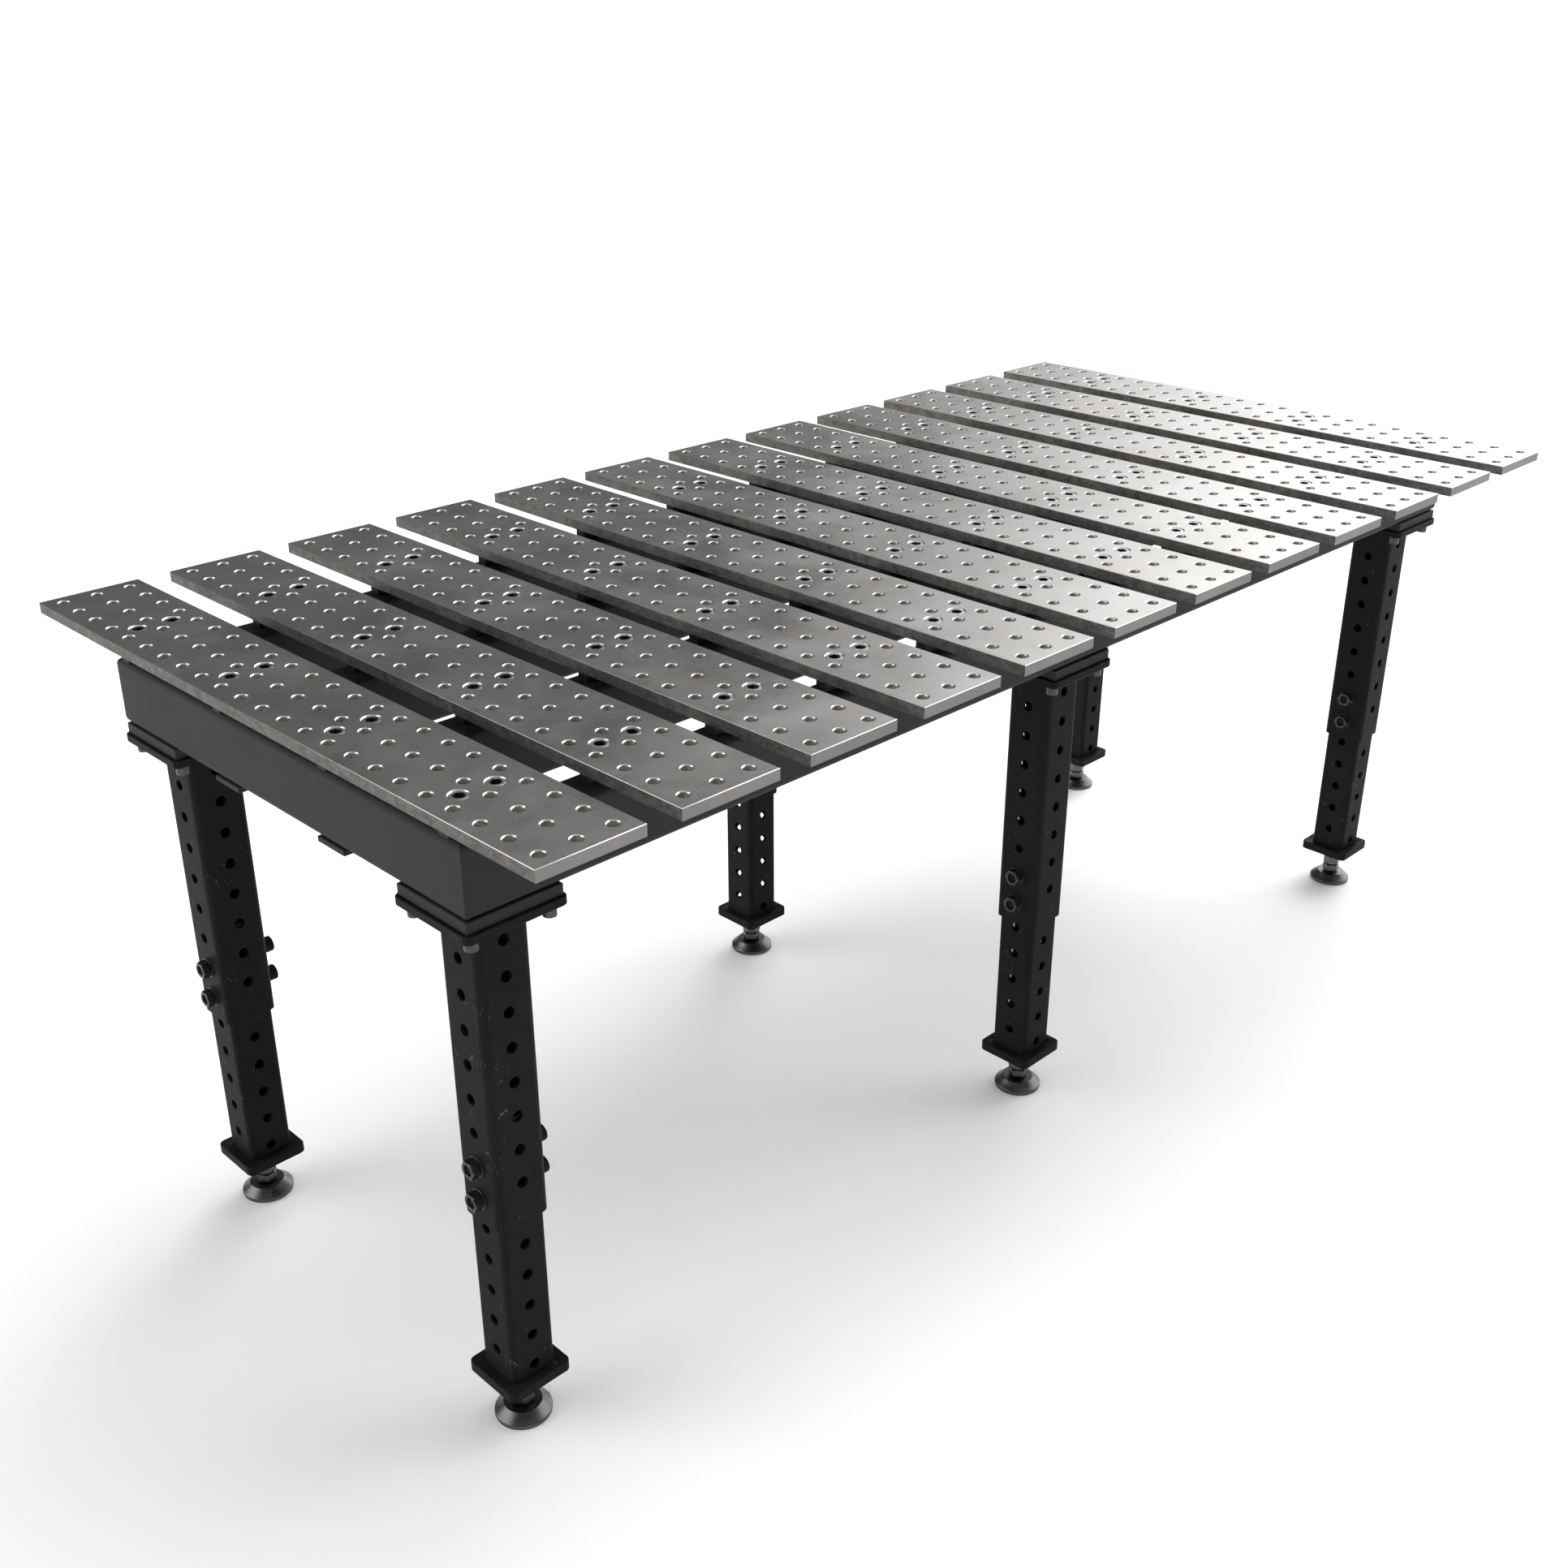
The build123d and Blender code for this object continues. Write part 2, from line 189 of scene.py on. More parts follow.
def coating(name, light, dark, rough, gloss, texture_scale, bump, sparkle=0.0, scratch=0.0):
    """Powder coat or paint: fine orange peel and dust and, if wanted, flecks and thin scuffs."""
    look = Look(name, Metallic=0.0, Specular_IOR_Level=gloss)
    where = look.place()
    peel = look.noise(where, texture_scale, 3.0, 0.6)
    dust = look.noise(look.place(2.0), 9.0, 5.0, 0.6, 0.4)
    colour = look.mix(look.band(dust, 0.35, 0.7), dark, light)
    if sparkle:
        grains = look.noise(where, texture_scale * 1.3, 2.0, 0.8)
        fleck = look.band(grains, 0.56, 0.78, 0.0, sparkle)
        colour = look.mix(fleck, colour, FLECK_GREY)
    if scratch:
        lanes = look.place(1.0, (1.0, 1.0, 0.35))
        veins = look.node(
            "TexVoronoi",
            {"Vector": lanes, "Scale": 120.0, "Randomness": 1.0},
            feature="DISTANCE_TO_EDGE",
        ).outputs["Distance"]
        line = look.band(veins, 0.0, 0.04, 1.0, 0.0)
        scuffed = look.band(look.noise(look.place(4.0), 26.0, 4.0, 0.7), 0.60, 0.70)
        scuff = look.math("MULTIPLY", line, look.math("MULTIPLY", scuffed, scratch))
        colour = look.mix(scuff, colour, SCUFF_GREY)
    look.set("Base Color", colour)
    look.set("Roughness", look.band(dust, 0.3, 0.7, rough - 0.05, rough + 0.07))
    look.bump(peel, bump)
    return look.material


def dark_steel(name, light, dark, rough, metallic=1.0, shade_scale=60.0):
    """Blackened or oiled steel with a slightly uneven sheen. Near black, it also paints the shade
    inside the screws' sockets.
    """
    look = Look(name, Metallic=metallic)
    where = look.place()
    tone = look.noise(where, shade_scale, 5.0, 0.65)
    fine = look.noise(where, 700.0, 3.0, 0.7)
    look.set("Base Color", look.mix(look.band(tone, 0.35, 0.68), dark, light))
    sheen = look.band(tone, 0.3, 0.7, -0.05, 0.07)
    grain = look.band(fine, 0.3, 0.7, rough - 0.04, rough + 0.06)
    look.set("Roughness", look.math("ADD", sheen, grain))
    look.bump(fine, 0.18)
    return look.material


TOP = ground_steel("ground_plate_top", grey(0.40, 0.02), grey(0.33, 0.035), 0.27)
EDGE = mill_scale("plate_mill_scale", (0.18, 0.172, 0.162, 1), (0.085, 0.079, 0.072, 1), 0.50)
END = ground_steel("plate_cut_end", grey(0.20, 0.03), grey(0.17, 0.04), 0.42, 0.2)
RIM = ground_steel("machined_rim", grey(0.62, 0.01), grey(0.54, 0.015), 0.20, 0.1)
BORE = mill_scale("drilled_wall", (0.42, 0.40, 0.375, 1), (0.26, 0.24, 0.215, 1), 0.38)
SCREW = ground_steel("screw_head_steel", grey(0.40, 0.015), grey(0.33, 0.02), 0.30, 0.25)
# painted shade: the screws' socket floors and walls are coloured near black to stand for the
# shade in the recess
SOCKET_SHADE = dark_steel("socket_painted_shade", grey(0.05), grey(0.025), 0.55)
PAINT = coating(
    "frame_powder_coat",
    light=(0.0310, 0.0323, 0.0360, 1),
    dark=(0.0255, 0.0268, 0.0300, 1),
    rough=0.52,
    gloss=0.08,
    texture_scale=700.0,
    bump=0.45,
    sparkle=0.14,
)
LEG = coating(
    "leg_coating",
    light=(0.0160, 0.0160, 0.0163, 1),
    dark=(0.0120, 0.0120, 0.0122, 1),
    rough=0.42,
    gloss=0.03,
    texture_scale=420.0,
    bump=0.30,
    sparkle=0.14,
    scratch=0.6,
)
BOLT = dark_steel("black_oxide_bolt", grey(0.075, 0.01), grey(0.045, 0.01), 0.30, 0.8)
FOOT = dark_steel("dark_foot_steel", grey(0.12), grey(0.10), 0.30)


# ---------------------------------------------------------------- drawing
class Shell:
    """Points in millimetres and the faces between them, for one piece."""

    def __init__(self):
        self.points, self.faces, self.finishes = [], [], []

    def loop(self, points):
        start = len(self.points)
        self.points.extend(points)
        return list(range(start, len(self.points)))

    def face(self, corners, finish=0):
        self.faces.append(tuple(corners))
        self.finishes.append(finish)

    def bridge(self, a, b, finish=0, closed=True):
        """Join two loops of the same number of points with a band of faces."""
        for i in range(len(a) if closed else len(a) - 1):
            j = (i + 1) % len(a)
            self.face((a[i], a[j], b[j], b[i]), finish)

    def chain(self, loops, finish=0):
        """Bands through a row of loops, open at both ends."""
        for a, b in zip(loops, loops[1:]):
            self.bridge(a, b, finish)

    def add(self, other, matrix):
        """A copy of another shell, moved by the matrix."""
        start = len(self.points)
        self.points.extend(tuple(matrix @ Vector(p)) for p in other.points)
        self.faces.extend(tuple(start + i for i in f) for f in other.faces)
        self.finishes.extend(other.finishes)

    def mesh(self, name, finishes, smooth=32, flat=()):
        """The shell as a mesh. Faces of the flat finishes keep their own normals."""
        made = bpy.data.meshes.new(name)
        made.from_pydata([[c * MM for c in p] for p in self.points], [], self.faces)
        for material in finishes:
            made.materials.append(material)
        made.polygons.foreach_set("material_index", self.finishes)
        edit = bmesh.new()
        edit.from_mesh(made)
        bmesh.ops.recalc_face_normals(edit, faces=edit.faces)
        edit.to_mesh(made)
        edit.free()
        made.set_sharp_from_angle(angle=radians(smooth))
        made.polygons.foreach_set("use_smooth", [m not in flat for m in self.finishes])
        made.update()
        return made


def circle(radius, segments=48, x=0.0, y=0.0):
    turns = [2 * pi * i / segments for i in range(segments)]
    return [(x + radius * cos(t), y + radius * sin(t)) for t in turns]


def hexagon_radius(flats, turn, angle):
    """Distance from the middle of a hexagon to its outline. Corners lie at turn, turn + 60..."""
    off = (angle - radians(turn)) % (pi / 3) - pi / 6
    return flats / 2 / cos(off)


def hexagon(flats, segments=48, turn=0.0):
    turns = [2 * pi * i / segments + radians(turn) for i in range(segments)]
    sizes = [hexagon_radius(flats, turn, t) for t in turns]
    return [(r * cos(t), r * sin(t)) for r, t in zip(sizes, turns)]


def turned(circle_points, turn):
    """The same round loop, started at the turn, so that it lines up with a hexagon."""
    c, s = cos(radians(turn)), sin(radians(turn))
    return [(x * c - y * s, x * s + y * c) for x, y in circle_points]


def level(points, z):
    return [(x, y, z) for x, y in points]


def rounded(width, depth, corner, x=0.0, y=0.0, steps=6):
    """Outline of a rectangle with rounded corners, counter-clockwise."""
    corner = max(corner, 0.05)
    points = []
    for quarter, (sx, sy) in enumerate(((1, 1), (-1, 1), (-1, -1), (1, -1))):
        cx, cy = x + sx * (width / 2 - corner), y + sy * (depth / 2 - corner)
        for step in range(steps + 1):
            t = (quarter + step / steps) * pi / 2
            points.append((cx + corner * cos(t), cy + corner * sin(t)))
    return points


WIDEST_HOLE = 20  # no hole in a sheet has a larger radius


def holed(outline, holes):
    """Triangles that fill an outline around its holes. Returns points, triangles and,
    for the outline and each hole, which points make it."""
    loops = [outline] + holes
    flat, edges = [], []
    for points in loops:
        start = len(flat)
        flat.extend(Vector(p) for p in points)
        edges.extend(
            (start + i, start + (i + 1) % len(points)) for i in range(len(points))
        )
    # origins says for each new point which of the given points it came from
    out, _, triangles, origins, _, _ = delaunay_2d_cdt(flat, edges, [], 0, 1e-5, True)
    found = {}
    for index, sources in enumerate(origins):
        for source in sources:
            found[source] = index
    rounds = []
    for points in holes:
        cx = sum(p[0] for p in points) / len(points)
        cy = sum(p[1] for p in points) / len(points)
        rounds.append((cx, cy, (points[0][0] - cx) ** 2 + (points[0][1] - cy) ** 2))
    kept = []
    for t in triangles:
        cx = sum(out[i][0] for i in t) / 3
        cy = sum(out[i][1] for i in t) / 3
        beside = [hole for hole in rounds if abs(cx - hole[0]) < WIDEST_HOLE]
        if all((cx - x) ** 2 + (cy - y) ** 2 > square * 0.98 for x, y, square in beside):
            kept.append(t)
    which, start = [], 0
    for points in loops:
        which.append([found[start + i] for i in range(len(points))])
        start += len(points)
    return [(p[0], p[1]) for p in out], kept, which


def lay_sheet(shell, filled, where, finish=0):
    """Add a holed sheet through a function from its two coordinates to three."""
    points, triangles, which = filled
    start = len(shell.points)
    shell.points.extend(where(u, v) for u, v in points)
    for t in triangles:
        shell.face([start + i for i in t], finish)
    return [[start + i for i in loop] for loop in which]


def slab(shell, outline, z0, z1, bevel, holes=(), finish=0):
    """A flat plate with bevelled edges. outline(inset) gives its loop, and each hole is
    (x, y, radius)."""
    inner, outer = outline(bevel), outline(0)
    rounds = [circle(r, 40, x, y) for x, y, r in holes]
    if rounds:
        filled = holed(inner, rounds)
        low = lay_sheet(shell, filled, lambda u, v: (u, v, z0), finish)
        high = lay_sheet(shell, filled, lambda u, v: (u, v, z1), finish)
        for a, b in zip(low[1:], high[1:]):
            shell.bridge(a, b, finish)
        bottom, top = low[0], high[0]
    else:
        bottom, top = shell.loop(level(inner, z0)), shell.loop(level(inner, z1))
        shell.face(bottom, finish)
        shell.face(top, finish)
    a = shell.loop(level(outer, z0 + bevel))
    b = shell.loop(level(outer, z1 - bevel))
    for lower, upper in ((bottom, a), (a, b), (b, top)):
        shell.bridge(lower, upper, finish)


def piece(name, mesh, body, nodes=(), at=(0, 0, 0), even=True):
    """Stand a mesh in the scene as one named piece of the object. With even, large faces
    keep flat normals and the small ones at their edges turn smoothly."""
    made = bpy.data.objects.new(name, mesh)
    bpy.context.scene.collection.objects.link(made)
    made.location = [c * MM for c in at]
    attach(made, body)
    if nodes:
        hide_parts(*nodes)
    if even:
        made.modifiers.new("even_normals", "WEIGHTED_NORMAL").keep_sharp = True
    return made


# ---------------------------------------------------------------- top
slat_low, slat_high = mm_box("slat_01")
slat_width, slat_length = slat_high[0] - slat_low[0], slat_high[1] - slat_low[1]
top_z, slat_z = slat_high[2], slat_low[2]
fixture_holes = [(i * GRID, j * GRID) for i in (-1, 0, 1) for j in range(-11, 12)]
SPACER_ROWS = (-381, -127, 127, 381)
screw_places = [(x, y) for x in (-GRID / 2, GRID / 2) for y in SPACER_ROWS]
HOLE, HOLE_RIM, HOLE_POINTS = 8.0, 1.4, 40
SEAT, SEAT_RIM, SEAT_DEPTH, SEAT_POINTS = 12.3, 1.7, 9.9, 56
SHANK, SHANK_POINTS = 6.1, 32
SLAT_EDGE = 0.7
# a countersink's section: share of its width still to go, and share of its depth reached
RIM_PROFILE = ((0.93, 0.02), (0.8, 0.10), (0.42, 0.48), (0.15, 0.82), (0.03, 0.95), (0.0, 1.0))


def soft_rim(shell, loop, centre, points, radius, rim):
    """From a loop in the working surface down a slightly rounded countersink."""
    for part, drop in RIM_PROFILE:
        outline = circle(radius + rim * part, points, *centre)
        ring = shell.loop(level(outline, top_z - rim * drop))
        shell.bridge(loop, ring, 3)
        loop = ring
    return loop


def make_slat():
    """One slat. Its finishes are 0 top, 1 rolled sides and underside, 2 ends, 3 rims, 4 bores."""
    shell = Shell()
    outer = rounded(slat_width, slat_length, 0.25, steps=2)
    inner = rounded(slat_width - 2 * SLAT_EDGE, slat_length - 2 * SLAT_EDGE, 0.2, steps=2)
    wide = [circle(HOLE + HOLE_RIM, HOLE_POINTS, x, y) for x, y in fixture_holes]
    wide += [circle(SEAT + SEAT_RIM, SEAT_POINTS, x, y) for x, y in screw_places]
    above = lay_sheet(shell, holed(inner, wide), lambda u, v: (u, v, top_z), 0)
    narrow = [circle(HOLE, HOLE_POINTS, x, y) for x, y in fixture_holes]
    narrow += [circle(SHANK, SHANK_POINTS, x, y) for x, y in screw_places]
    below = lay_sheet(shell, holed(outer, narrow), lambda u, v: (u, v, slat_z), 1)
    # outline: rolled long sides, cut ends, thin bright bevel above
    middle = shell.loop(level(outer, top_z - SLAT_EDGE))
    for i in range(len(outer)):
        j = (i + 1) % len(outer)
        end = abs(outer[i][1] + outer[j][1]) / 2 > slat_length / 2 - 1
        shell.face((below[0][i], below[0][j], middle[j], middle[i]), 2 if end else 1)
    shell.bridge(middle, above[0], 3)
    for (x, y), rim_loop, low_loop in zip(fixture_holes, above[1:], below[1:]):
        throat = soft_rim(shell, rim_loop, (x, y), HOLE_POINTS, HOLE, HOLE_RIM)
        shell.bridge(throat, low_loop, 4)
    count = len(fixture_holes)
    for (x, y), rim_loop, low_loop in zip(screw_places, above[1 + count:], below[1 + count:]):
        throat = soft_rim(shell, rim_loop, (x, y), SEAT_POINTS, SEAT, SEAT_RIM)
        floor_z = top_z - SEAT_DEPTH
        foot = shell.loop(level(circle(SEAT, SEAT_POINTS, x, y), floor_z))
        shell.bridge(throat, foot, 4)
        ring = holed(circle(SEAT, SEAT_POINTS), [circle(SHANK, SHANK_POINTS)])
        seat = lay_sheet(shell, ring, lambda u, v: (x + u, y + v, floor_z), 4)
        weld(shell, seat[0], foot)
        shell.bridge(seat[1], low_loop, 4)
    return shell.mesh("perforated_slat", [TOP, EDGE, END, RIM, BORE], 40, (0, 1, 2))


def weld(shell, loop, onto):
    """Make one loop's faces, which are among the latest, use another loop's points, which
    lie in the same places."""
    latest = 400
    swap = dict(zip(loop, onto))
    for index in range(len(shell.faces) - 1, -1, -1):
        if any(i in swap for i in shell.faces[index]):
            shell.faces[index] = tuple(swap.get(i, i) for i in shell.faces[index])
        elif len(shell.faces) - index > latest:
            break


slat_mesh = make_slat()
for node in SLATS:
    low, high = mm_box(node)
    at = ((low[0] + high[0]) / 2, 0, 0)
    piece(f"plate_{node[-2:]}", slat_mesh, "table_frame", [node], at, False)


def socket_screw(
    head_radius, head_height, shank_radius, length, flats, depth, edge, turn=0.0, knurl=0.0
):
    """Socket head screw standing on Z, the head's top at 0 and the shank below it. The
    socket is flats across and depth deep, and edge is the head's bevel."""
    shell = Shell()
    n = 48
    recess = hexagon(flats, n, turn)

    def rounds(radius):
        return turned(circle(radius, n), turn)

    # the socket's floor and walls take finish 1, a near-black painted shade for the recess
    bottom = shell.loop(level([(x * 0.93, y * 0.93) for x, y in recess], -depth))
    shell.face(bottom, 1)
    wall = shell.loop(level(recess, -0.5))
    shell.bridge(bottom, wall, 1)
    mouth = shell.loop(level([(x * 1.05, y * 1.05) for x, y in recess], 0))
    shell.bridge(wall, mouth, 1)
    loops = [mouth, shell.loop(level(rounds(head_radius - edge), 0))]
    loops.append(shell.loop(level(rounds(head_radius - edge * 0.3), -edge * 0.3)))
    loops.append(shell.loop(level(rounds(head_radius), -edge)))
    for a, b in zip(loops, loops[1:]):
        shell.bridge(a, b, 0)
    if knurl:
        # fine straight knurling round the head: every third point stands out
        for z in (-edge - 0.5, -head_height + 0.9):
            ridged = []
            for i, (x, y) in enumerate(rounds(head_radius)):
                share = 1 - knurl / head_radius * (i % 3 > 0)
                ridged.append((x * share, y * share))
            loops.append(shell.loop(level(ridged, z)))
            shell.bridge(loops[-2], loops[-1], 0)
    for r, z in (
        (head_radius, -head_height + 0.3),
        (head_radius - 0.3, -head_height),
        (shank_radius, -head_height),
        (shank_radius, -length + 1),
        (shank_radius - 1, -length),
    ):
        loops.append(shell.loop(level(rounds(r), z)))
        shell.bridge(loops[-2], loops[-1], 0)
    shell.face(loops[-1], 0)
    return shell


SCREW_SUNK = 0.9  # how far the slat screws' heads lie below the working surface
one_screw = socket_screw(
    head_radius=12.0,
    head_height=9.0,
    shank_radius=6.0,
    length=33.1,
    flats=14.0,
    depth=5.5,
    edge=0.6,
)
screws = Shell()
for node in SLATS:
    low, high = mm_box(node)
    for x, y in screw_places:
        # every socket came to rest at its own turn
        spin = Matrix.Rotation(radians(13 * x + 7 * y + low[0] * 3), 4, "Z")
        stand = Matrix.Translation(((low[0] + high[0]) / 2 + x, y, top_z - SCREW_SUNK))
        screws.add(one_screw, stand @ spin)
screw_mesh = screws.mesh("slat_socket_screws", [SCREW, SOCKET_SHADE])
piece("slat_socket_screws", screw_mesh, "table_frame", ["slat_screws"])

SPACER_LENGTH, SPACER_WIDTH = 101.6, 19
spacers = Shell()
spacer_low, spacer_high = mm_box("slat_spacers")
for node in SLATS:
    low, high = mm_box(node)
    x = (low[0] + high[0]) / 2
    for y in SPACER_ROWS:
        slab(
            spacers,
            lambda b: rounded(SPACER_LENGTH - 2 * b, SPACER_WIDTH - 2 * b, 0.4, x, y, 2),
            spacer_low[2],
            spacer_high[2],
            0.5,
            holes=[(x - GRID / 2, y, SHANK), (x + GRID / 2, y, SHANK)],
        )
spacer_mesh = spacers.mesh("spacer_bars", [PAINT])
piece("spacer_bars", spacer_mesh, "table_frame", ["slat_spacers"])


# ---------------------------------------------------------------- frame
TUBE_CORNER = 10.0
frame_low, frame_high = mm_box("left_end_tube")
tube_low, tube_high = frame_low[2], frame_high[2]
tube_mid, tube_height = (tube_low + tube_high) / 2, tube_high - tube_low
tube_width = frame_high[0] - frame_low[0]
half_length = mm_box("right_end_tube")[1][0]
half_width = frame_high[1]


def frame_ring():
    """Four mitred tubes as one ring: the tube's section carried round the frame's corners."""
    shell = Shell()
    section = rounded(tube_width, tube_height, TUBE_CORNER, tube_width / 2, tube_mid, 8)
    corners = ((-1, -1), (1, -1), (1, 1), (-1, 1))
    rings = [
        shell.loop([(sx * (half_length - u), sy * (half_width - u), z) for u, z in section])
        for sx, sy in corners
    ]
    for i, ring in enumerate(rings):
        shell.bridge(ring, rings[(i + 1) % 4])
    return shell.mesh("mitred_tube_frame", [PAINT])


ring_nodes = ["left_end_tube", "right_end_tube", "front_side_tube", "rear_side_tube"]
piece("mitred_tube_frame", frame_ring(), "table_frame", ring_nodes)


def straight_tube(name, node, along):
    """A tube that butts on others at both ends. It runs along X with 0 and along Y with 1."""
    low, high = mm_box(node)
    across = 1 - along
    width, middle = high[across] - low[across], (low[across] + high[across]) / 2
    section = rounded(width, high[2] - low[2], TUBE_CORNER, middle, tube_mid, 8)
    shell = Shell()
    ends = [
        shell.loop([(s, u, z) if along == 0 else (u, s, z) for u, z in section])
        for s in (low[along], high[along])
    ]
    shell.bridge(*ends)
    for end in ends:
        shell.face(end)
    piece(name, shell.mesh(name, [PAINT]), "table_frame", [node])


straight_tube("front_long_beam", "front_inner_beam", 0)
straight_tube("rear_long_beam", "rear_inner_beam", 0)
for node in ("front_crosspiece", "centre_crosspiece", "rear_crosspiece"):
    straight_tube(node + "_tube", node, 1)

COVER_X, COVER_Y = 120, 60
cover_low, cover_high = mm_box("beam_joint_plates")
covers = Shell()
for sx in (-1, 1):
    for sy in (-1, 1):
        x, y = sx * (cover_high[0] - COVER_X / 2), sy * (cover_high[1] - COVER_Y / 2)
        slab(
            covers,
            lambda b: rounded(COVER_X - 2 * b, COVER_Y - 2 * b, 0.8, x, y, 2),
            cover_low[2],
            cover_high[2],
            0.7,
        )
cover_mesh = covers.mesh("joint_cover_plates", [PAINT])
piece("joint_cover_plates", cover_mesh, "table_frame", ["beam_joint_plates"])

pad_low, pad_high = mm_box("leg_mount_plates")
flange_low, flange_high = mm_box("leg_flanges")
PAD_SIDE, FLANGE_SIDE = 140, 150
PLATE_CORNER = 10  # of the flanges above the legs and of the base plates below them
leg_x, leg_y = pad_high[0] - PAD_SIDE / 2, pad_high[1] - PAD_SIDE / 2
leg_at = {}
for place in PLACES:
    column, row = place.split("_")
    sx = {"left": -1, "middle": 0, "right": 1}[column]
    leg_at[place] = (sx * leg_x, -leg_y if row == "front" else leg_y)
SPREAD = 57.0  # from the leg's middle to its flange screws, in X and in Y
FLANGE_HEAD = 16
bolt_corners = [(sx * SPREAD, sy * SPREAD) for sx in (-1, 1) for sy in (-1, 1)]
pads, flanges, flange_screws = Shell(), Shell(), Shell()
one_flange_screw = socket_screw(
    head_radius=9.0,
    head_height=FLANGE_HEAD,
    shank_radius=6.0,
    length=42.0,
    flats=10.0,
    depth=6.0,
    edge=0.8,
    knurl=0.12,
)
for place, (x, y) in leg_at.items():
    spots = [(x + dx, y + dy) for dx, dy in bolt_corners]
    slab(
        pads,
        lambda b: rounded(PAD_SIDE - 2 * b, PAD_SIDE - 2 * b, 1.2 - b / 2, x, y, 3),
        pad_low[2],
        pad_high[2],
        1.0,
        holes=[(a, b, 6.1) for a, b in spots],
    )
    slab(
        flanges,
        lambda b: rounded(FLANGE_SIDE - 2 * b, FLANGE_SIDE - 2 * b, PLATE_CORNER - b, x, y, 8),
        flange_low[2],
        flange_high[2],
        1.0,
        holes=[(a, b, 6.5) for a, b in spots],
    )
    for a, b in spots:
        # heads down, every socket at its own turn
        stand = Matrix.Translation((a, b, flange_low[2] - FLANGE_HEAD))
        flip = Matrix.Rotation(pi, 4, "X") @ Matrix.Rotation(a * 0.7 + b, 4, "Z")
        flange_screws.add(one_flange_screw, stand @ flip)
for name, shell, finishes, slot, node in (
    ("leg_pad_blocks", pads, [PAINT], "frame_paint", "leg_mount_plates"),
    ("leg_flange_plates", flanges, [LEG], "leg_paint", "leg_flanges"),
    ("flange_cap_screws", flange_screws, [BOLT, SOCKET_SHADE], "bolt_steel", "flange_screws"),
):
    piece(name, shell.mesh(name, finishes), "table_frame", [node])


# ---------------------------------------------------------------- legs
LEG_HOLE, LEG_HOLE_RIM, LEG_HOLE_COUNT = 8.15, 0.35, 8


def leg_tube(shell, side, wall, corner, z0, z1, first_x, first_y, steps=7):
    """Square tube with rounded corners and eight cross holes in every face. The lowest
    holes' heights are first_x in the faces across X and first_y in those across Y."""
    reach = side / 2
    inner_corner = max(corner - wall, 1.0)
    heights = {
        key: [first + k * GRID for k in range(LEG_HOLE_COUNT)]
        for key, first in (("x", first_x), ("y", first_y))
    }
    sheets = {}
    for key, rows in heights.items():
        for layer, half, radius in (
            ("outer", reach - corner, LEG_HOLE + LEG_HOLE_RIM),
            ("inner", reach - wall - inner_corner, LEG_HOLE),
        ):
            outline = [(-half, z0), (half, z0), (half, z1), (-half, z1)]
            sheets[key, layer] = holed(outline, [circle(radius, 36, 0, z) for z in rows])
    sides = []
    for quarter, key in enumerate("xyxy"):
        c, s = cos(quarter * pi / 2), sin(quarter * pi / 2)

        def stand(depth, u, v):
            """A point of this face, depth from the leg's middle."""
            return (depth * c - u * s, depth * s + u * c, v)

        out = lay_sheet(shell, sheets[key, "outer"], lambda u, v: stand(reach, u, v))
        inn = lay_sheet(shell, sheets[key, "inner"], lambda u, v: stand(reach - wall, u, v))
        for z, a, b in zip(heights[key], out[1:], inn[1:]):
            around = circle(LEG_HOLE, 36, 0, z)
            lip = shell.loop([stand(reach - LEG_HOLE_RIM, u, v) for u, v in around])
            shell.bridge(a, lip)
            shell.bridge(lip, b)
        sides.append((out[0], inn[0]))
    rims = {("outer", 0): [], ("outer", 1): [], ("inner", 0): [], ("inner", 1): []}
    for quarter in range(4):
        after = (quarter + 1) % 4
        for layer, which, radius, offset in (
            ("outer", 0, corner, reach - corner),
            ("inner", 1, inner_corner, reach - wall - inner_corner),
        ):
            low_a, low_b = sides[quarter][which][1], sides[after][which][0]
            high_a, high_b = sides[quarter][which][2], sides[after][which][3]
            turns = [(quarter + k / steps) * pi / 2 for k in range(1, steps)]
            middle = (quarter + 0.5) * pi / 2
            cx, cy = offset * sqrt(2) * cos(middle), offset * sqrt(2) * sin(middle)
            arc = [(cx + radius * cos(t), cy + radius * sin(t)) for t in turns]
            low = [low_a] + shell.loop(level(arc, z0)) + [low_b]
            high = [high_a] + shell.loop(level(arc, z1)) + [high_b]
            shell.bridge(low, high, closed=False)
            rims[layer, 0] += low
            rims[layer, 1] += high
    for end in (0, 1):
        shell.bridge(rims["outer", end], rims["inner", end])


HEXAGON_POINTS = 72
FACE_SHARE = 0.475  # a nut's round face, as its radius over the distance across flats
TRIM_SLOPE = tan(radians(30))  # of the cone that turns a nut's corners off


def nut(shell, flats, z0, z1, bore, turn=0.0, finish=0):
    """Hexagon nut whose corners are turned off at both ends, with a chamfered bore."""
    face = flats * FACE_SHARE
    outline = hexagon(flats, HEXAGON_POINTS, turn)
    trim = [TRIM_SLOPE * (sqrt(x * x + y * y) - face) for x, y in outline]

    def ring(radius, z):
        return shell.loop(level(turned(circle(radius, HEXAGON_POINTS), turn), z))

    loops = [
        ring(bore, z0 + 1),
        ring(bore + 1, z0),
        ring(face, z0),
        shell.loop([(x, y, z0 + t) for (x, y), t in zip(outline, trim)]),
        shell.loop([(x, y, z1 - t) for (x, y), t in zip(outline, trim)]),
        ring(face, z1),
        ring(bore + 1, z1),
        ring(bore, z1 - 1),
    ]
    for a, b in zip(loops, loops[1:] + loops[:1]):
        shell.bridge(a, b, finish)


